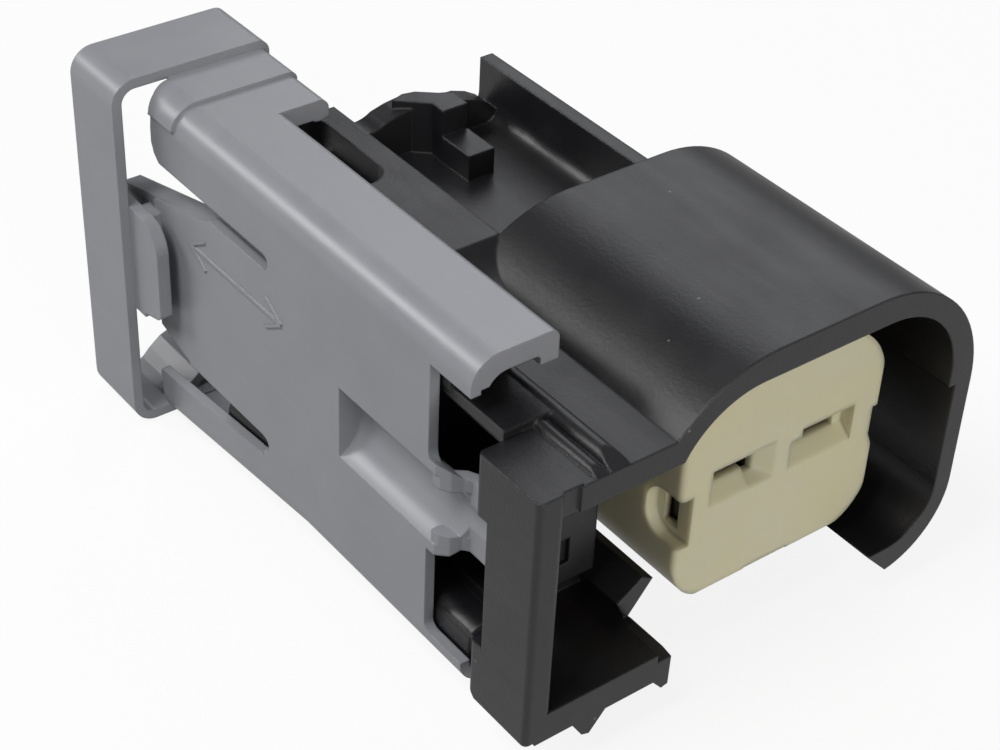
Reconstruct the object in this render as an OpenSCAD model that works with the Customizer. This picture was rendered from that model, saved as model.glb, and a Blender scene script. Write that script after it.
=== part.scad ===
// Two-way sealed connector with a sliding lock, modelled in millimetres.
// Local frame: x points to the mating side with the hood's rim at 0, y runs across from the
// press bow's side to the far side with 0 on the latch arm's face, z is up with 0 on the centreline.

/* [Overall] */
// length of the housing's hood, front rim to its rear wall
hood_length = 15.55; // [12:0.05:20]
// half height of the hood
hood_half = 9.15; // [7:0.05:12]
// outer right side of the hood
hood_right = 27.2; // [22:0.1:32]
// outer corner radius at the hood's upper right
hood_corner = 7.5; // [5:0.1:9]
// hood wall at the top
hood_wall = 1.55; // [1:0.05:2.5]
// hood wall on the right side
side_wall = 1.1; // [0.8:0.05:2]
// length of the rear body behind the hood
body_length = 13.45; // [10:0.05:20]
// half height of the rear body
body_half = 6.1; // [5:0.1:8]

/* [Latch frame] */
// depth of the latch arm along x
arm_depth = 4.4; // [3:0.1:6]
// thickness of the latch arm
arm_wall = 1.45; // [1:0.05:2.5]
// top face of the arm and of the flange
flange_top = 6.4; // [5:0.1:8]
// thickness of the top flange
flange_wall = 1.4; // [1:0.05:2.5]
// top face of the bottom plate
plate_top = -6.6; // [-8:0.1:-5]
// thickness of the bottom plate
plate_wall = 1.7; // [1:0.05:2.5]
// y of the bottom plate's free edge
plate_right = 8.5; // [7:0.1:10]

/* [Rails] */
// height of the guide ridge above the centreline
ridge_top = 9.25; // [8:0.05:10]
// first y of the guide ridge
ridge_left = 1.35; // [1.3:0.01:1.6]
// last y of the guide ridge
ridge_right = 4.85; // [4:0.05:6]
// deck beside the ridge, above the centreline
deck_top = 8.05; // [7:0.05:9]
// far edge of the deck
deck_right = 9.55; // [8:0.05:11]
// length of the round-ended slot in the deck
deck_slot_length = 7.3; // [5:0.1:10]
// width of the round-ended slot in the deck
deck_slot_width = 2.6; // [1.5:0.1:3]

/* [Nose] */
// width and height of the nose
nose_size = 12.85; // [10:0.1:16]
// corner radius of the nose on the press bow's side
nose_radius = 2.5; // [1.5:0.1:4]
// corner radius of the nose at its upper far side
nose_far_radius = 4.6; // [2:0.1:5]
// how far the nose's face is set back from the hood's rim
nose_setback = 2.0; // [0:0.1:6]
// length of the nose cap
nose_length = 6.2; // [4:0.1:10]
// radius of the nose's front edge
nose_edge = 0.3; // [0.1:0.05:0.6]
// wall of the nose cap
nose_wall = 1.15; // [0.8:0.05:2]
// distance between the two terminals
pitch = 5.0; // [3.5:0.1:7]
// width of one blade slot
slot_width = 4.1; // [3:0.1:4.4]
// depth of the mouth in front of a through hole
slot_depth = 0.75; // [0.5:0.05:1]

/* [Slide lock] */
// length of the slide lock with its press bow
slide_length = 32.58; // [28:0.1:36]
// wall of the slide lock
slide_wall = 0.55; // [0.4:0.05:1.2]
// outer side face of the slide lock
slide_face = 0.7; // [0.4:0.05:1]
// top face of the slide lock
slide_top = 9.9; // [9:0.05:11]
// bottom face of the slide lock
slide_bottom = -9.45; // [-11:0.05:-8]
// outer corner radius of the slide lock
slide_radius = 1.45; // [0.8:0.05:3]
// radius of the half-round groove in the slide lock
groove_radius = 2.4; // [1.5:0.1:3]
// width of the press bow along x
bow_width = 4.38; // [3:0.02:6]
// how far the press bow stands out from the side face
bow_offset = 1.75; // [1:0.05:3]
// how far the slide lock travels forwards to lock
travel = 3.0; // [1:0.1:4]

/* [Seals and wires] */
// radius of the bore for one wire seal
seal_bore = 2.25; // [1.8:0.05:2.4]
// outside radius of the wire seal's lips
seal_lip = 2.2; // [1.7:0.05:2.35]
// radius of the wire hole in the seal
wire_hole = 0.95; // [0.6:0.05:1.3]
// length of the wire seal
seal_length = 6.0; // [4:0.1:8]
// radial play between sliding pieces
play = 0.1; // [0.03:0.01:0.2]

/* [Hidden] */
$fn = 48;
eps = 0.01;
nose_mid = 16.7;
nose_left = nose_mid - nose_size / 2;
nose_right = nose_mid + nose_size / 2;
nose_front = -nose_setback;
nose_rear = nose_front - nose_length;
tower_front = nose_front - nose_wall - play;
tower_half = nose_size / 2 - nose_wall - play;
body_rear = -hood_length - body_length;
slot_first = nose_mid - pitch / 2 - slot_width / 2 - 0.01;
term_y = [nose_mid - pitch / 2 - 0.2, nose_mid + pitch / 2 - 0.2];
term_z = 0.3;
plate_bottom = plate_top - plate_wall;
bow_face = slide_face - bow_offset;
groove_mid = slide_face - 1.15;
slide_front = -arm_depth - 1.5;
bow_rear = slide_front - slide_length;
bow_front = bow_rear + bow_width;
bow_top = slide_top + 0.65;
bow_bottom = slide_bottom - 1.65;
slide_far = ridge_right + 0.65;
wide_front = bow_front + 5.94;
wide_far = 8.1;
bow_far = 8.3;
slot_front = bow_front + 11.7;
skin_rear = slot_front - 0.9;
strip_rear = bow_front + 0.5;
window_rear = slide_front - travel;
strip_front = slide_front + 2.6;
key_rear = body_rear + 1.0;
ridge_rear = body_rear - 0.9;
ridge_front = slide_front - 2.4;
deck_ramp = 3.36;
deck_low = flange_top + 0.38;
deck_radius = (deck_ramp * deck_ramp + (deck_top - deck_low) * (deck_top - deck_low)) / 2 / (deck_top - deck_low);
seal_front = body_rear + seal_length + 0.6;
ring_front = nose_rear - 1.0;
ring_length = 2.6;
housing_color = [0.07, 0.07, 0.075];
slide_color = [0.42, 0.43, 0.45];
nose_color = [0.80, 0.78, 0.62];
seal_color = [0.70, 0.30, 0.16];
metal_color = [0.72, 0.70, 0.66];

// moves the local frame so that the origin is at the middle of the underside
module place() translate([-bow_rear / 2, -(hood_right + bow_face) / 2, -bow_bottom]) children();

// outlines drawn as (y, z) and pushed along x
module alongX(x0, x1) translate([x0, 0, 0]) rotate([90, 0, 90]) linear_extrude(height = x1 - x0) children();
// outlines drawn as (x, z) and pushed along y
module alongY(y0, y1) translate([0, y1, 0]) rotate([90, 0, 0]) linear_extrude(height = y1 - y0) children();
// outlines drawn as (x, y) and pushed along z
module alongZ(z0, z1) translate([0, 0, z0]) linear_extrude(height = z1 - z0) children();
module block(a, b) translate(a) cube([b[0] - a[0], b[1] - a[1], b[2] - a[2]]);
module patch(y0, z0, y1, z1) translate([y0, z0]) square([y1 - y0, z1 - z0]);
module disc(y, z, r) translate([y, z]) circle(r = r);
// a rectangle with a radius at each corner: lower left, upper left, lower right, upper right
module cornerBox(y0, z0, y1, z1, r) {
    polygon([[y0 + r[0], z0], [y1 - r[2], z0], [y1, z0 + r[2]], [y1, z1 - r[3]], [y1 - r[3], z1], [y0 + r[1], z1], [y0, z1 - r[1]], [y0, z0 + r[0]]]);
    disc(y0 + r[0], z0 + r[0], r[0]);
    disc(y0 + r[1], z1 - r[1], r[1]);
    disc(y1 - r[2], z0 + r[2], r[2]);
    disc(y1 - r[3], z1 - r[3], r[3]);
}
// the same with one radius on its left corners and one on its right corners
module softBox(y0, z0, y1, z1, rl, rr) cornerBox(y0, z0, y1, z1, [rl, rl, rr, rr]);
module noseShape(grow) {
    side = nose_radius + grow;
    cornerBox(nose_left - grow, -nose_size / 2 - grow, nose_right + grow, nose_size / 2 + grow, [side, side, side + 0.5, nose_far_radius + grow]);
}

// ---- housing ----
module hoodOuter() difference() {
    union() {
        intersection() {
            disc(13.6, hood_half - 7.85, 7.85);
            patch(6.9, flange_top - flange_wall, 14, hood_half + 1);
        }
        patch(13.5, 0, hood_right - hood_corner, hood_half);
        disc(hood_right - hood_corner, hood_half - hood_corner, hood_corner);
        patch(hood_right - hood_corner, -4.65, hood_right, hood_half - hood_corner);
        disc(hood_right - 4.5, -hood_half + 4.5, 4.5);
    }
    // slanted free end of the bottom wall
    polygon([[10, -5.5], [21.9, -5.5], [21.9, -7.55], [23.4, -9.1], [23.5, -11], [10, -11]]);
}
module hoodInner() {
    intersection() {
        disc(12.6, hood_half - hood_wall - 5.05, 5.05);
        patch(6, flange_top - flange_wall - 0.5, 13, hood_half);
    }
    patch(10.5, -10, 20.5, 4.8);
    patch(12.5, 0, 20.5, hood_half - hood_wall);
    disc(hood_right - 6.7, hood_half - 6.7, 6.7 - hood_wall);
    patch(20.4, -4.75, hood_right - hood_wall, 2.45);
    patch(25, -4.75, hood_right - side_wall, 1.7);
    disc(hood_right - side_wall - 2.8, -4.75, 2.8);
    patch(20.4, -7.55, 23.3, -4);
    patch(20, -10, 21.9, -4);
}
module hood() {
    difference() {
        alongX(-hood_length, 0) hoodOuter();
        alongX(-hood_length + 1.6, 1) hoodInner();
    }
    // rear wall that carries the inner body
    alongX(-hood_length, -hood_length + 1.7) {
        patch(8.4, -6.6, 24, 7.0);
        patch(13, 5, 22, 8.5);
    }
}
module flange() {
    block([-hood_length, 2.3, flange_top - flange_wall], [0, 8.2, flange_top - 0.1]);
    block([-arm_depth, 0.8, flange_top - flange_wall], [-0.15, 3, flange_top]);
    // two half-round ribs, cut to a slope at the front
    difference() {
        alongX(-hood_length, 0) {
            patch(2.46, flange_top - 0.5, 8.2, flange_top);
            disc(4.42, flange_top - 0.05, 0.55);
            disc(3.42, flange_top - 0.1, 0.38);
        }
        translate([0, 0, flange_top]) rotate([0, 21.5, 0]) block([-3, 2.4, 0], [3, 9, 3]);
    }
    // rail level behind the arm and the slope up to the hood's rear
    block([-hood_length, ridge_left + 0.1, flange_top - 0.2], [-arm_depth - 0.05, 4.2, flange_top + 0.42]);
    alongY(4.8, 8.2) polygon([[-8.5, flange_top - 0.5], [-8.5, flange_top + 0.1], [-hood_length, flange_top + 0.6], [-hood_length, flange_top - 0.5]]);
}
module arm() {
    difference() {
        alongZ(plate_bottom + 0.2, flange_top) softBox(-arm_depth, 0, 0, arm_wall, 0.3, 0.3);
        block([-arm_depth - 1, -1, -4.6], [-3.5, 3, 3.0]);
        // small bevel at the lower rear corner
        translate([-arm_depth, -1, plate_bottom + 0.2]) rotate([0, 45, 0]) cube([0.7, 4, 0.7], center = true);
        slideRebate();
    }
}
// room for the lock's lower skin at the end of its travel
module slideRebate() block([-arm_depth - 0.1, slide_face - play, plate_bottom - 0.1], [slide_front + travel + play, arm_wall, plate_bottom + 0.52]);
module plate() {
    difference() {
        block([-3, 0.6, plate_bottom], [0, plate_right - 0.6, plate_top]);
        slideRebate();
    }
    block([-hood_length, ridge_left + 0.1, plate_bottom], [-2.9, plate_right - 0.1, plate_top]);
    difference() {
        alongX(-3, 0) polygon([[7.6, plate_top], [8.45, plate_top], [8.75, plate_top - 0.35], [8.7, -8.85], [8.3, -8.95], [7.7, plate_bottom + 0.05]]);
        alongY(7.5, 9) polygon([[-2.4, plate_top + 0.1], [-2.4, plate_top], [0.1, plate_top - 0.5], [0.1, plate_top + 0.1]]);
    }
    alongX(-2.1, 0) polygon([[2.8, plate_bottom + 0.1], [3.45, -9.25], [3.9, -9.4], [4.9, plate_bottom + 0.1]]);
    // inner ledges beside the lower rail
    block([-hood_length, 3.1, plate_top - 0.1], [-5.2, 4.3, plate_top + 1.0]);
    // slanted wall from the plate to the nose
    alongX(-hood_length + 1, -2.94) polygon([[7.7, -5.52], [8.25, plate_top - 0.1], [8.4, plate_top - 0.1], [9.85, -4.85], [9.2, -4.5], [8.5, -5.0]]);
}
module latchWall() {
    difference() {
        block([-6.3, 2.75, -4.7], [-5.0, 7.8, flange_top - 1]);
        block([-5.3, 5.6, -3.5], [-4.9, 6.2, -2.0]);
    }
    block([-hood_length, 6.6, -4.7], [-6.2, 7.8, flange_top - 1]);
}
module rails() {
    difference() {
        union() {
            // upper ridge with the deck beside it
            alongX(ridge_rear, ridge_front) softBox(ridge_left, 6.0, ridge_right, ridge_top, 0.85, 0.3);
            block([ridge_rear, ridge_right - 0.5, body_half - 0.3], [-hood_length, deck_right, deck_top]);
            // hollow slope from the deck down to the flange
            alongY(ridge_right - 0.5, deck_right - 0.2) difference() {
                patch(-hood_length - eps, body_half, deck_ramp - hood_length, deck_top);
                disc(deck_ramp - hood_length, deck_low + deck_radius, deck_radius);
            }
        }
        translate([-26.3, 6.95, 0]) {
            for (s = [-1, 1]) translate([s * (deck_slot_length - deck_slot_width) / 2, 0, 4]) cylinder(h = 6, d = deck_slot_width);
            block([-(deck_slot_length - deck_slot_width) / 2, -deck_slot_width / 2, 4], [(deck_slot_length - deck_slot_width) / 2, deck_slot_width / 2, 10]);
        }
        block([ridge_rear - 0.6, 2.45, 5], [-hood_length + 1, ridge_right - 1.2, 8.4]);
    }
    // lower ridge and the shelf that carries it
    alongX(ridge_rear + 2, slide_front - 0.3) softBox(ridge_left, slide_bottom + slide_wall + play, ridge_right, -6.3, 0.85, 0.3);
    block([ridge_rear + 2, ridge_right - 0.5, -8.0], [slide_front - 0.3, 8.6, -5.9]);
    block([ridge_rear + 2, ridge_left + 0.3, -6.9], [-hood_length + 1, 8.6, -5.9]);
}
module terminalCavity(y) {
    translate([body_rear - 1, y, term_z]) rotate([0, 90, 0]) cylinder(h = seal_front - body_rear + 1, r = seal_bore);
    block([seal_front - 0.1, y - 1.3, term_z - 1.5], [tower_front + 1, y + 1.3, term_z + 1.5]);
}
module body() {
    difference() {
        union() {
            alongX(body_rear, -hood_length + 0.5) {
                patch(7.6, -body_half, 20.6, body_half);
                disc(term_y[1], 0, 3.75);
            }
            alongX(-hood_length + 0.4, nose_rear - 0.05) noseShape(-0.25);
            alongX(nose_rear - 0.2, tower_front) softBox(nose_mid - tower_half, -tower_half, nose_mid + tower_half, tower_half, 1.85 - play, 1.85 - play);
        }
        // groove for the ring seal
        alongX(ring_front - ring_length, ring_front) difference() {
            noseShape(3);
            noseShape(-1.3);
        }
    }
}
module farWall() {
    block([body_rear + 0.5, 17.95, body_half - 0.2], [-hood_length + eps, 18.75, 9.1]);
    // hollow fillet at its foot
    alongX(body_rear + 0.5, -hood_length + eps) difference() {
        patch(16.95, body_half - 0.2, 18.0, body_half + 1.0);
        disc(16.95, body_half + 1.0, 1.0);
    }
}
// keying blocks on top of the rear body, placed from the body's rear end
module keyBlock() translate([key_rear, 0, 0]) {
    alongZ(body_half - 0.2, 9.1) polygon([[0.45, 12.2], [0.7, 11.4], [2.1, 13.0], [3.05, 12.95], [3.05, 14.5], [1.7, 14.6], [1.4, 13.9], [0.6, 12.9]]);
    alongZ(body_half - 0.2, 8.0) polygon([[0, 11.4], [2.0, 12.95], [3.0, 14.5], [0, 14.6]]);
    block([2.9, 12.95, body_half - 0.2], [5.4, 14.55, 7.6]);
    // saddle towards the deck and the rear wall towards the far side
    alongX(0, 1.4) difference() {
        polygon([[9.3, body_half - 0.2], [9.3, deck_top], [11.4, 8.6], [12.6, 8.75], [14.0, 8.3], [14.0, body_half - 0.2]]);
        disc(9.5, 9.85, 1.8);
    }
    alongX(0, 1.2) polygon([[14, body_half - 0.2], [14, 8.05], [15.7, 8.0], [16.6, 7.7], [17.3, 7.3], [18.0, 6.6], [18.0, body_half - 0.2]]);
}
module housing() color(housing_color) place() difference() {
    union() {
        hood();
        flange();
        arm();
        plate();
        latchWall();
        rails();
        body();
        farWall();
        keyBlock();
    }
    for (y = term_y) terminalCavity(y);
}

// ---- nose cap ----
module noseBody() intersection() {
    alongX(nose_rear, nose_front) noseShape(0);
    // the front edges are rounded
    alongY(0, 40) frontRounded(-nose_size / 2, nose_size / 2);
    alongZ(-20, 20) frontRounded(nose_left, nose_right);
}
// outline that is rounded at its two front corners
module frontRounded(lo, hi) {
    patch(nose_rear - 1, lo, nose_front - nose_edge, hi);
    patch(nose_front - nose_edge - eps, lo + nose_edge, nose_front, hi - nose_edge);
    disc(nose_front - nose_edge, lo + nose_edge, nose_edge);
    disc(nose_front - nose_edge, hi - nose_edge, nose_edge);
}
// mouth that is slot_width wide, with a ramp up to the through hole
module bladeSlot(y, ramp_end) {
    floor_z = -0.17;
    difference() {
        block([nose_front - slot_depth, y, -0.9], [nose_front + 1, y + slot_width, 1.25]);
        alongY(y - 1, y + ramp_end) polygon([[nose_front - 1, floor_z], [nose_front - slot_depth, floor_z], [nose_front, -0.9], [nose_front, -2], [nose_front - 1, -2]]);
    }
}
module throughHole(y0, z0, y1, z1) block([nose_front - nose_wall - 1, y0, z0], [nose_front - 0.5, y1, z1]);
module noseCap() color(nose_color) place() {
    second = slot_first + pitch + 0.05;
    difference() {
        noseBody();
        alongX(nose_rear - 1, nose_front - nose_wall) softBox(nose_mid - tower_half - play, -tower_half - play, nose_mid + tower_half + play, tower_half + play, 1.85, 1.85);
        // first mouth: the ramp ends at a deeper pocket with a slanted far wall
        difference() {
            bladeSlot(slot_first, 2.55);
            alongZ(-2, 2) polygon([[nose_front - 1, slot_first + 3.25], [nose_front - slot_depth, slot_first + 3.25], [nose_front, slot_first + slot_width], [nose_front, slot_first + 5], [nose_front - 1, slot_first + 5]]);
            alongY(slot_first + 2.5, slot_first + 5) polygon([[nose_front - 1, -0.55], [nose_front - slot_depth, -0.55], [nose_front, -0.9], [nose_front, -2], [nose_front - 1, -2]]);
        }
        throughHole(slot_first + 0.03, -0.15, slot_first + 3.2, 1.22);
        throughHole(slot_first + 2.55, -0.53, slot_first + 3.2, 0);
        // second mouth: a full ramp and a step at its upper corner
        difference() {
            bladeSlot(second, slot_width + 1);
            block([nose_front - 2, second - 1, 0.75], [nose_front + 1, second + 0.66, 2]);
        }
        throughHole(second + 0.7, -0.15, second + 3.45, 1.22);
        throughHole(second + 0.03, -0.15, second + 0.75, 0.72);
        // keying notches: left side, right side and underneath
        alongY(nose_left - 1, nose_left + 0.75) softBox(nose_front - 2.4, -2.75, nose_front + 2, 0.2, 1.2, 0.2);
        block([nose_front - 1.85, nose_left + 0.2, -2.3], [nose_front - 0.9, nose_left + 1.6, 0.1]);
        alongX(nose_front - 2.4, nose_front + 1) polygon([[nose_right - 0.5, 0.55], [nose_right + 1, 0.55], [nose_right + 1, -2.9], [nose_right - 0.1, -2.1], [nose_right - 0.5, -1.15]]);
        block([nose_front - 2.4, nose_mid - 1.7, -nose_size / 2 - 1], [nose_front + 1, nose_mid + 1.25, -nose_size / 2 + 0.25]);
    }
}

// ---- ring seal ----
module ringSeal() color(seal_color) place() difference() {
    union() {
        alongX(ring_front - ring_length + 0.05, ring_front - 0.05) noseShape(-0.45);
        for (i = [0, 1]) alongX(ring_front - 0.9 - i * 1.4, ring_front - 0.4 - i * 1.4) noseShape(0.25);
    }
    alongX(-20, 0) noseShape(-1.25);
}

// ---- slide lock ----
module slideShape(grow, far) {
    difference() {
        softBox(slide_face - grow, slide_bottom - grow, far, slide_top + grow, slide_radius + grow, 0.5);
        softBox(slide_face + slide_wall, slide_bottom + slide_wall, far - slide_wall, slide_top - slide_wall, slide_radius - slide_wall, 0.1);
        patch(far - slide_wall - 0.5, slide_bottom + 1.0, far + 1, slide_top - 1.65);
    }
}
// upper rear part, which is wide; thick only beside the guide ridge
module wideTop() {
    thick_left = ridge_right + 0.15;
    alongX(bow_front, bow_front + 3.0) intersection() {
        slideShape(0.2, wide_far);
        patch(-2, slide_top - 1.1, 10, slide_top + 1);
    }
    block([bow_front, slide_face + slide_radius, slide_top - slide_wall], [wide_front, wide_far - 0.6, slide_top]);
    block([bow_front, thick_left, slide_top - 1.07], [wide_front, wide_far, slide_top - 0.6]);
    block([bow_front, thick_left, slide_top - 0.7], [wide_front, wide_far - 0.6, slide_top]);
    translate([bow_front, wide_far - 0.6, slide_top - 0.6]) rotate([0, 90, 0]) cylinder(h = wide_front - bow_front, r = 0.6);
}
// thicker rim round the front of the upper part
module frontRim() alongX(slide_front - 1.3, slide_front) intersection() {
    difference() {
        softBox(slide_face, slide_bottom, slide_far, slide_top, slide_radius, 0.5);
        softBox(slide_face + slide_wall + 0.3, slide_bottom, slide_far - 1.0, slide_top - 1.1, 1.1, 0.3);
    }
    patch(0, slide_top - 1.65, 10, slide_top);
}
module mainSkin() {
    difference() {
        union() {
            alongX(skin_rear, slide_front) slideShape(0, slide_far);
            frontRim();
            // narrow top flange and upper strip behind the slots
            alongX(strip_rear, skin_rear + 0.05) intersection() {
                slideShape(0, slide_far);
                patch(-2, 6.1, 10, 12);
            }
            wideTop();
            // tongue between the slots
            block([strip_rear, slide_face, -5.45], [skin_rear + 0.05, slide_face + slide_wall, 5.2]);
            // bottom in front of the flared strip
            block([skin_rear, slide_face + slide_radius, slide_bottom], [slide_front + 0.65, slide_far - 0.5, slide_bottom + slide_wall]);
        }
        // windows that let the latch arm in
        block([window_rear + 1.0, -2, 2.1], [0, 3, 8.0]);
        block([window_rear, -2, 3.2], [window_rear + 1.4, 3, 8.0]);
        translate([window_rear + 1.1, 0, 3.2]) rotate([90, 0, 0]) cylinder(h = 6, r = 1.1, center = true);
        alongY(-2, 3) softBox(window_rear, -7.9, 0, -2.2, 0.5, 0.1);
        // two slots that free the tongue
        for (s = [[5.65, slot_front], [-5.95, slot_front - 0.4]]) alongY(-2, 3) softBox(-45, s[0] - 0.45, s[1], s[0] + 0.45, 0.1, 0.44);
        // tapered end of the tongue
        alongY(-2, 2) polygon([[bow_front + 6.1, 5.3], [bow_front + 6.1, 5.05], [bow_front - 0.1, 3.4], [bow_front - 0.1, 5.3]]);
        alongY(-2, 2) polygon([[bow_front + 3.4, -5.6], [bow_front + 3.4, -5.3], [bow_front - 0.1, -4.3], [bow_front - 0.1, -5.6]]);
        // rounded rear end of the upper strip
        translate([bow_front, 0, 0]) alongY(-2, slide_face + slide_radius) polygon([[-2, 10.3], [0.1, 10.3], [0.5, 9.7], [0.75, 8.9], [0.62, 7.9], [0.62, 7.1], [0.85, 6.5], [1.4, 6.0], [-2, 6.0]]);
        // half-round groove
        translate([-16.2, groove_mid, 0]) rotate([0, 90, 0]) cylinder(h = 20, r = groove_radius);
        block([window_rear, -2, -2.3], [0, 3, 2.2]);
    }
}
// half-round strip that carries the groove's bottom on through the windows
module grooveStrip() {
    shell = groove_radius + slide_wall;
    difference() {
        translate([-16.75, groove_mid, 0]) rotate([0, 90, 0]) cylinder(h = 16.75 + strip_front, r = shell);
        translate([-16.2, groove_mid, 0]) rotate([0, 90, 0]) cylinder(h = 20, r = groove_radius);
        block([-20, -5, -4], [0, slide_face, 4]);
        // the strip steps in behind the latch arm
        alongZ(-4, 4) polygon([[-8.3, -4], [-8.3, 0.7], [-7.6, 1.1], [-7.3, 1.6], [-7.1, 1.85], [0, 1.85], [0, -4]]);
    }
    // edges of the strip, which follow the same step
    for (z = [-2.15, 1.35]) alongZ(z, z + 0.8) polygon([[-8.6, 0.75], [-8.1, 0.8], [-7.6, 1.1], [-7.3, 1.6], [-7.0, 1.85], [strip_front, 1.85], [strip_front, 2.4], [-7.1, 2.4], [-7.7, 2.1], [-8.1, 1.6], [-8.6, 1.3]]);
}
module lowerStrip() {
    translate([bow_front + 14.6, 0, slide_bottom]) rotate([0, -5.4, 0]) intersection() {
        alongX(-14.3, 0.9) translate([0, -slide_bottom]) slideShape(0, slide_far);
        block([-20, -2, -3], [5, 10, 3.0]);
    }
}
module pressBow() {
    alongX(bow_rear, bow_front) {
        difference() {
            softBox(bow_face, bow_bottom, bow_far, bow_top, 1.35, 0.75);
            softBox(bow_face + slide_wall, bow_bottom + slide_wall, bow_far - slide_wall, bow_top - slide_wall, 0.8, 0.1);
            patch(2.3, -20, 12, 0);
            patch(5, -1, 12, bow_top - 1.5);
        }
        // the lower leg turns up at its far end
        polygon([[1.2, bow_bottom], [1.3, bow_bottom + slide_wall], [1.9, -10.2], [2.4, -9.7], [3.1, -9.15], [3.9, -8.85], [5.2, -8.75], [5.2, -9.3], [4.0, -9.4], [3.3, -9.75], [2.7, -10.4], [2.0, bow_bottom + 0.1]]);
    }
    // blends into the top and the lower strip
    block([bow_front - 1.5, ridge_left + 1.3, slide_top - 0.5], [bow_front + eps, wide_far - 0.7, bow_top - slide_wall + 0.05]);
    block([bow_front - 1.1, 1.6, bow_bottom + 0.2], [bow_front + 0.7, 4.6, bow_bottom + 0.95]);
    translate([bow_front, 0, 0]) {
        // pad that joins the bow to the tongue
        alongY(bow_face + slide_wall - 0.05, 0.15) {
            polygon([[-3.1, -3.5], [0.6, -3.1], [2.5, -2.6], [2.8, -2.3], [2.8, 1.6], [-3.1, 1.6]]);
            patch(-3.1, -3.2, 1.1, 3.2);
            translate([1.1, 1.5]) circle(r = 1.7);
        }
        block([-0.1, 0.1, -3.0], [1.2, slide_face + 0.1, 3.0]);
        // stiffening edges of the tongue, tapering with it
        alongY(slide_face + 0.2, 2.0) {
            polygon([[11.1, 5.1], [5.8, 5.0], [-3.3, 2.6], [-3.3, 1.95], [5.8, 4.3], [11.1, 4.4]]);
            polygon([[11.1, -5.15], [2.6, -5.15], [-0.2, -4.35], [-0.2, -3.7], [2.8, -4.5], [11.1, -4.5]]);
        }
        block([-2.9, 0.0, 2.0], [0.6, 1.0, 2.6]);
    }
}
// plain double-headed arrow, raised on the side face
module arrowMark() {
    translate([bow_front + 8.55, slide_face - 0.08, 2.77]) {
        block([-4.3, 0, -0.11], [4.3, 0.2, 0.11]);
        for (s = [-1, 1], t = [-1, 1]) translate([s * 4.3, 0, 0]) rotate([0, s * t * 32 + (s > 0 ? 180 : 0), 0]) block([0, 0, -0.1], [1.7, 0.2, 0.1]);
    }
}
module slideLock() color(slide_color) place() {
    mainSkin();
    grooveStrip();
    lowerStrip();
    pressBow();
    arrowMark();
}

// ---- terminals ----
module terminal(y) color(metal_color) place() translate([0, y, term_z]) {
    difference() {
        block([tower_front - 9.6, -1.15, -1.3], [tower_front - 0.6, 1.15, 1.3]);
        block([tower_front - 9.0, -0.9, -1.05], [tower_front + 1, 0.9, 1.05]);
    }
    // contact beam inside the box
    alongY(-0.6, 0.6) polygon([[tower_front - 9.0, -1.15], [tower_front - 9.0, -0.9], [tower_front - 4.0, -0.05], [tower_front - 1.2, -0.55], [tower_front - 1.2, -0.8], [tower_front - 4.0, -0.35], [tower_front - 8.6, -1.15]]);
    // neck, conductor crimp and seal crimp, both left open
    block([seal_front + 0.3, -0.55, -1.3], [tower_front - 9.5, 0.55, -1.0]);
    for (x = [[seal_front + 3.8, seal_front + 6.4, 0.95], [seal_front + 1.2, seal_front + 3.0, 1.15]]) difference() {
        translate([x[0], 0, -0.1]) rotate([0, 90, 0]) cylinder(h = x[1] - x[0], r = x[2]);
        translate([x[0] - 1, 0, -0.1]) rotate([0, 90, 0]) cylinder(h = 6, r = x[2] - 0.3);
        block([x[0] - 1, -0.35, 0], [x[1] + 1, 0.35, 3]);
    }
}

// ---- wire seals ----
module wireSeal(y) color(seal_color) place() translate([body_rear + 0.3, y, term_z]) rotate([0, 90, 0]) difference() {
    union() {
        cylinder(h = seal_length, r = seal_lip - 0.35);
        for (i = [0 : 2]) translate([0, 0, 0.5 + i * 1.9]) rotate_extrude() polygon([[0, 0], [seal_lip - 0.3, 0], [seal_lip, 0.35], [seal_lip, 0.65], [seal_lip - 0.3, 1.0], [0, 1.0]]);
    }
    translate([0, 0, -1]) cylinder(h = seal_length + 2, r = wire_hole);
}

housing();
slideLock();  // slide_lock
noseCap();  // nose_cap
ringSeal();  // ring_seal
terminal(term_y[0]);  // terminal_left
terminal(term_y[1]);  // terminal_right
wireSeal(term_y[0]);  // wire_seal_left
wireSeal(term_y[1]);  // wire_seal_right
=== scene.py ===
import math

import bpy
from mathutils import Matrix, Vector


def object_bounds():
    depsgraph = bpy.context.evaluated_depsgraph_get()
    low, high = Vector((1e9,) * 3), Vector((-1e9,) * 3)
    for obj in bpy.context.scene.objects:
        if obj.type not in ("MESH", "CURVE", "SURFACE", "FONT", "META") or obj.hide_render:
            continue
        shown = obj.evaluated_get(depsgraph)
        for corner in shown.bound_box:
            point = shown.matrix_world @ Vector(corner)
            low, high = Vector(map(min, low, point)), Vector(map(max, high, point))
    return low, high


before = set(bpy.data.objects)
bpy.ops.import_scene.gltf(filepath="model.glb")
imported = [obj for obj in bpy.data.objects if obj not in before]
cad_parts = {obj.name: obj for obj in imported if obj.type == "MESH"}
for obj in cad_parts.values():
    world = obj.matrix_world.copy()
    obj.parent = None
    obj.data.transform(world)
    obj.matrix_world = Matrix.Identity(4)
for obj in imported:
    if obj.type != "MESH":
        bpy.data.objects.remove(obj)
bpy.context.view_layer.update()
print("frame loaded:", sorted(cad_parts))


camera = {
    "turn": 51.293,      # degrees round from looking along +Y
    "rise": 36.947,      # degrees above the horizon
    "roll": 2.804,
    "lens": 78.699,      # mm, as the sensor is
    "sensor": 36,
    "near": 0.005,
    "far": 10,
    "place": (0.07237, -0.058135, 0.07666),
}


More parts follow.
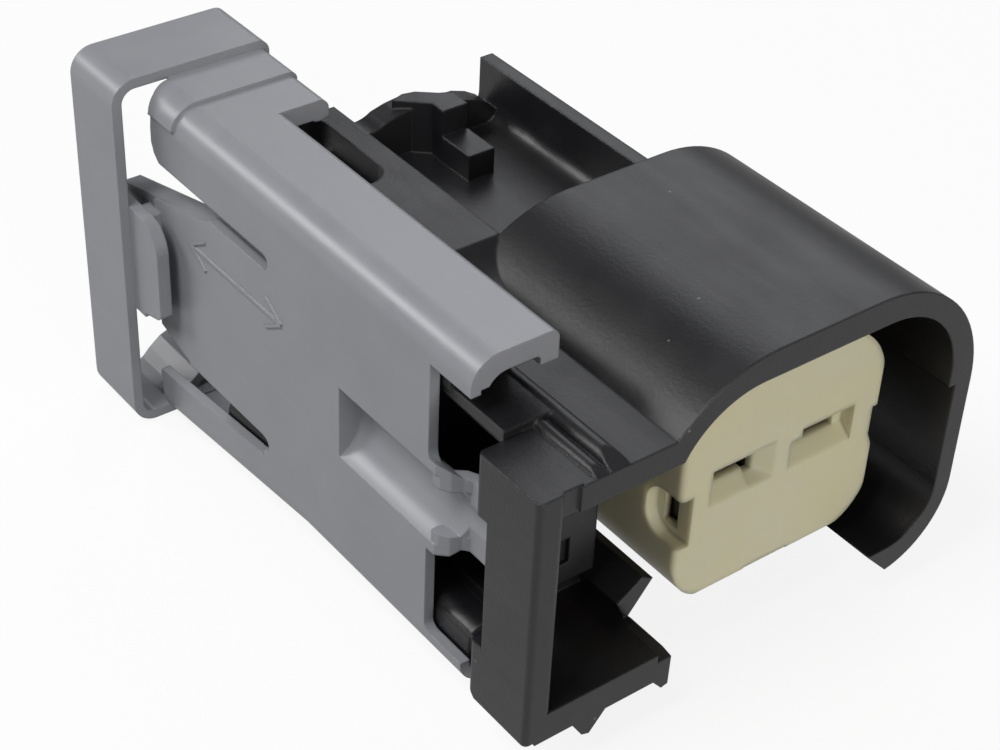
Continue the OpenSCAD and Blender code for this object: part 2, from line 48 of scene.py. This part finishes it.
def makeCamera():
    turn, rise, roll = (math.radians(camera[key]) for key in ("turn", "rise", "roll"))
    back = Vector((math.sin(turn) * math.cos(rise), -math.cos(turn) * math.cos(rise), math.sin(rise)))
    level = Vector((math.cos(turn), math.sin(turn), 0))
    right = math.cos(roll) * level + math.sin(roll) * back.cross(level)
    up = back.cross(right)
    data = bpy.data.cameras.new("camera")
    data.lens = camera["lens"]
    data.sensor_width = camera["sensor"]
    data.clip_start, data.clip_end = camera["near"], camera["far"]
    item = bpy.data.objects.new("camera", data)
    turned = Matrix((right, up, back)).transposed().to_4x4()
    item.matrix_world = Matrix.Translation(camera["place"]) @ turned
    bpy.context.scene.collection.objects.link(item)
    bpy.context.scene.camera = item
    print("camera placed")


makeCamera()


class Wire:
    # wraps an output socket so that shader maths reads as plain expressions
    def __init__(self, maker, socket):
        self.maker = maker
        self.socket = socket

    def sum(self, kind, first, second):
        return self.maker.node("ShaderNodeMath", {"operation": kind}, {0: first, 1: second})

    def __add__(self, other):
        return self.sum("ADD", self, other)

    __radd__ = __add__

    def __sub__(self, other):
        return self.sum("SUBTRACT", self, other)

    def __rsub__(self, other):
        return self.sum("SUBTRACT", other, self)

    def __mul__(self, other):
        return self.sum("MULTIPLY", self, other)

    __rmul__ = __mul__

    def __gt__(self, other):
        return self.sum("GREATER_THAN", self, other)


class Maker:
    # builds one material: node() adds any node and returns one of its outputs
    def __init__(self, name):
        self.material = bpy.data.materials.new(name)
        self.material.use_nodes = True
        self.tree = self.material.node_tree
        self.tree.nodes.clear()
        self.spot = self.tree.nodes.new("ShaderNodeTexCoord").outputs["Object"]

    def fill(self, socket, value):
        if isinstance(value, Wire):
            self.tree.links.new(value.socket, socket)
        elif isinstance(value, bpy.types.NodeSocket):
            self.tree.links.new(value, socket)
        else:
            socket.default_value = value

    def node(self, kind, settings=None, inputs=None, out=0):
        made = self.tree.nodes.new(kind)
        for key, value in (settings or {}).items():
            setattr(made, key, value)
        for key, value in (inputs or {}).items():
            self.fill(made.inputs[key], value)
        return Wire(self, made.outputs[out])

    def noise(self, scale, detail=3.0, roughness=0.55, stretch=None):
        spot = self.spot
        if stretch:
            spot = self.node("ShaderNodeMapping", None, {"Vector": spot, "Scale": stretch})
        return self.node("ShaderNodeTexNoise", None,
                         {"Vector": spot, "Scale": scale, "Detail": detail, "Roughness": roughness})

    def ramp(self, value, low, high):
        return self.node("ShaderNodeMapRange", None,
                         {"Value": value, "From Min": 0.3, "From Max": 0.7, "To Min": low, "To Max": high})

    def mix(self, mask, first, second):
        # a mix node's colours are its sockets 6 and 7, and its output 2
        return self.node("ShaderNodeMix", {"data_type": "RGBA"}, {0: mask, 6: first, 7: second}, 2)

    def finish(self, shader):
        output = self.tree.nodes.new("ShaderNodeOutputMaterial")
        self.tree.links.new(shader.socket, output.inputs["Surface"])
        return self.material


def grey(value):
    return (value, value, value, 1.0)


# colours are linear, scales are features to the metre, depths and edges are metres
lockFinish = {
    "colour": (0.235, 0.240, 0.260, 1),
    "worn": (0.268, 0.272, 0.290, 1),
    "roughness": (0.30, 0.40),
    "specular": 0.55,
    "patches": 260.0,
    "streaks": 900.0,
    "grain": 5200.0,
    "grainDepth": 0.000004,
    "edge": 0.00012,
    "lint": 0.0,
}
housingFinish = {
    "colour": (0.0055, 0.0053, 0.0066, 1),
    "worn": (0.0090, 0.0088, 0.0105, 1),
    "roughness": (0.34, 0.46),
    "specular": 0.60,
    "patches": 260.0,
    "streaks": 900.0,
    "grain": 4200.0,
    "grainDepth": 0.000012,
    "edge": 0.00018,
    "lint": 0.5,
}
lintSpecks = {
    "scale": 620.0,
    "core": 0.035,       # distances from a speck's middle, in specks
    "rim": 0.06,
    "patches": 300.0,
    "rarity": 0.60,
    "colour": grey(0.25),
}


def mouldedPlastic(name, look):
    maker = Maker(name)
    patches = maker.noise(look["patches"], 4.0)
    streaks = maker.noise(look["streaks"], 3.0, 0.6, stretch=(0.12, 1.0, 1.0))
    grain = maker.noise(look["grain"], 2.0, 0.7)
    colour = maker.mix(maker.ramp(patches, 0.0, 0.8), look["colour"], look["worn"])
    if look["lint"]:
        specks = maker.node("ShaderNodeTexVoronoi", {"feature": "F1"},
                            {"Vector": maker.spot, "Scale": lintSpecks["scale"], "Randomness": 1.0})
        rare = maker.noise(lintSpecks["patches"], 1.0) > lintSpecks["rarity"]
        near = 1 - maker.node("ShaderNodeMapRange", None, {
            "Value": specks, "From Min": lintSpecks["core"], "From Max": lintSpecks["rim"]})
        colour = maker.mix(near * rare * look["lint"], colour, lintSpecks["colour"])
    low, high = look["roughness"]
    rough = maker.ramp(patches * 0.6 + streaks * 0.4, low, high)
    rounded = maker.node("ShaderNodeBevel", {"samples": 4}, {"Radius": look["edge"]})
    bump = maker.node("ShaderNodeBump", None,
                      {"Strength": 1.0, "Distance": look["grainDepth"],
                       "Height": grain + streaks * 0.6, "Normal": rounded})
    shader = maker.node("ShaderNodeBsdfPrincipled", None, {
        "Base Color": colour,
        "Roughness": rough,
        "Normal": bump,
        "IOR": 1.5,
        "Specular IOR Level": look["specular"],
    })
    return maker.finish(shader)


noseFinish = {
    "colour": (0.600, 0.570, 0.405, 1),
    "warm": (0.620, 0.575, 0.375, 1),
    "roughness": (0.34, 0.46),
    "patches": 320.0,
    "grain": 2600.0,
    "grainDepth": 0.000006,
    "edge": 0.00045,
    "glow": 0.35,        # share of light that goes below the surface
    "glowDepth": 0.0012,
}


def nosePlastic():
    maker = Maker("nosePlastic")
    patches = maker.noise(noseFinish["patches"], 4.0)
    grain = maker.noise(noseFinish["grain"], 3.0, 0.6)
    bump = maker.node("ShaderNodeBump", None, {
        "Strength": 1.0, "Distance": noseFinish["grainDepth"], "Height": grain + patches * 2.0,
        "Normal": maker.node("ShaderNodeBevel", {"samples": 4}, {"Radius": noseFinish["edge"]})})
    low, high = noseFinish["roughness"]
    shader = maker.node("ShaderNodeBsdfPrincipled", None, {
        "Base Color": maker.mix(maker.ramp(patches, 0.0, 1.0), noseFinish["colour"], noseFinish["warm"]),
        "Roughness": maker.ramp(patches, low, high),
        "Normal": bump,
        "IOR": 1.5,
        "Subsurface Weight": noseFinish["glow"],
        "Subsurface Radius": (1.0, 0.75, 0.35),
        "Subsurface Scale": noseFinish["glowDepth"],
    })
    return maker.finish(shader)


sealFinish = {
    "colour": (0.42, 0.10, 0.035, 1),
    "pale": (0.50, 0.14, 0.05, 1),
    "roughness": (0.45, 0.6),
    "patches": 500.0,
    "grain": 3000.0,
    "grainDepth": 0.00001,
}


def sealRubber():
    maker = Maker("sealRubber")
    patches = maker.noise(sealFinish["patches"], 3.0)
    grain = maker.noise(sealFinish["grain"], 2.0)
    bump = maker.node("ShaderNodeBump", None,
                      {"Strength": 0.6, "Distance": sealFinish["grainDepth"], "Height": grain})
    low, high = sealFinish["roughness"]
    shader = maker.node("ShaderNodeBsdfPrincipled", None, {
        "Base Color": maker.mix(maker.ramp(patches, 0.0, 1.0), sealFinish["colour"], sealFinish["pale"]),
        "Roughness": maker.ramp(patches, low, high),
        "Normal": bump,
    })
    return maker.finish(shader)


terminalFinish = {
    "colour": (0.62, 0.60, 0.56, 1),
    "bright": (0.74, 0.72, 0.68, 1),
    "roughness": (0.28, 0.42),
    "streaks": 1500.0,
    "streakDepth": 0.000005,
}


def tinnedMetal():
    maker = Maker("tinnedMetal")
    streaks = maker.noise(terminalFinish["streaks"], 3.0, 0.6, stretch=(0.1, 1.0, 1.0))
    bump = maker.node("ShaderNodeBump", None,
                      {"Strength": 0.4, "Distance": terminalFinish["streakDepth"], "Height": streaks})
    low, high = terminalFinish["roughness"]
    shader = maker.node("ShaderNodeBsdfPrincipled", None, {
        "Base Color": maker.mix(streaks, terminalFinish["colour"], terminalFinish["bright"]),
        "Metallic": 1.0,
        "Roughness": maker.ramp(streaks, low, high),
        "Normal": bump,
    })
    return maker.finish(shader)


lockGrey = mouldedPlastic("lockGrey", lockFinish)
housingBlack = mouldedPlastic("housingBlack", housingFinish)
noseCream = nosePlastic()
sealRed = sealRubber()
metalTin = tinnedMetal()

finishes = {
    "housing": housingBlack,
    "slide_lock": lockGrey,
    "nose_cap": noseCream,
    "ring_seal": sealRed,
    "wire_seal_left": sealRed,
    "wire_seal_right": sealRed,
    "terminal_left": metalTin,
    "terminal_right": metalTin,
}
for nodeName, material in finishes.items():
    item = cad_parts[nodeName]
    if not item.material_slots:
        item.data.materials.append(material)
    for held in item.material_slots:
        held.material = material
print("materials given to", len(finishes), "nodes")


stage = {
    "floorSize": 1.2,
    "paleFloor": (0.86, 0.86, 0.86, 1),    # as the camera sees it
    "dimFloor": (0.25, 0.25, 0.25, 1),     # as it lights the part from below
    "white": 0.86,       # share of plain white on the floor, which leaves the rest for the shadow
    "mirrored": 0.5,     # the same for mirrored rays
    "world": 0.12,
}
lamps = [
    # name, place, size, power, colour; the sheen is mirrored by faces that look up and towards -Y
    ("key", (0.02, -0.24, 0.38), 0.20, 1.25, (1.0, 1.0, 1.0)),
    ("sheen", (-0.26, -0.24, 0.21), 0.13, 0.55, (1.0, 1.0, 1.0)),
    ("back", (-0.20, 0.24, 0.26), 0.26, 0.36, (0.94, 0.96, 1.0)),
    ("side", (0.42, -0.04, 0.09), 0.24, 1.15, (1.0, 0.99, 0.97)),
]


def makeFloor(middle, level):
    half = stage["floorSize"] / 2
    mesh = bpy.data.meshes.new("floor")
    sides = ((-1, -1), (1, -1), (1, 1), (-1, 1))
    corners = [(middle.x + a * half, middle.y + b * half, level) for a, b in sides]
    mesh.from_pydata(corners, [], [(0, 1, 2, 3)])
    floor = bpy.data.objects.new("floor", mesh)
    bpy.context.scene.collection.objects.link(floor)
    maker = Maker("floorWhite")
    path = maker.tree.nodes.new("ShaderNodeLightPath")
    direct = Wire(maker, path.outputs["Is Camera Ray"])
    mirrored = Wire(maker, path.outputs["Is Glossy Ray"]) + Wire(maker, path.outputs["Is Transmission Ray"])
    seen = direct * stage["white"] + mirrored * stage["mirrored"]
    matt = maker.node("ShaderNodeBsdfPrincipled", None, {
        "Base Color": maker.mix(direct, stage["dimFloor"], stage["paleFloor"]),
        "Roughness": 1.0,
        "Specular IOR Level": 0.0,
    })
    plain = maker.node("ShaderNodeEmission", None, {"Color": grey(1.0), "Strength": 1.0})
    mesh.materials.append(maker.finish(maker.node("ShaderNodeMixShader", None, {0: seen, 1: matt, 2: plain})))


def makeRoom():
    # plain white behind the part, and a little even light from all round
    world = bpy.data.worlds.new("studio")
    bpy.context.scene.world = world
    world.use_nodes = True
    tree = world.node_tree
    tree.nodes.clear()
    ray = tree.nodes.new("ShaderNodeLightPath")
    room = tree.nodes.new("ShaderNodeBackground")
    room.inputs["Color"].default_value = grey(1.0)
    room.inputs["Strength"].default_value = stage["world"]
    white = tree.nodes.new("ShaderNodeBackground")
    white.inputs["Color"].default_value = grey(1.0)
    mixed = tree.nodes.new("ShaderNodeMixShader")
    output = tree.nodes.new("ShaderNodeOutputWorld")
    tree.links.new(ray.outputs["Is Camera Ray"], mixed.inputs[0])
    tree.links.new(room.outputs[0], mixed.inputs[1])
    tree.links.new(white.outputs[0], mixed.inputs[2])
    tree.links.new(mixed.outputs[0], output.inputs["Surface"])


def makeLamps(middle):
    for name, place, size, power, colour in lamps:
        data = bpy.data.lights.new(name, "AREA")
        data.size = size
        data.energy = power
        data.color = colour
        lamp = bpy.data.objects.new(name, data)
        aim = middle - Vector(place)
        lamp.rotation_euler = aim.to_track_quat("-Z", "Y").to_euler()
        lamp.location = place
        bpy.context.scene.collection.objects.link(lamp)


lowCorner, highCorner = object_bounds()
partMiddle = (lowCorner + highCorner) / 2
makeFloor(partMiddle, lowCorner.z)
makeRoom()
makeLamps(partMiddle)
bpy.context.scene.view_settings.view_transform = "Standard"
print("stage and lamps set")
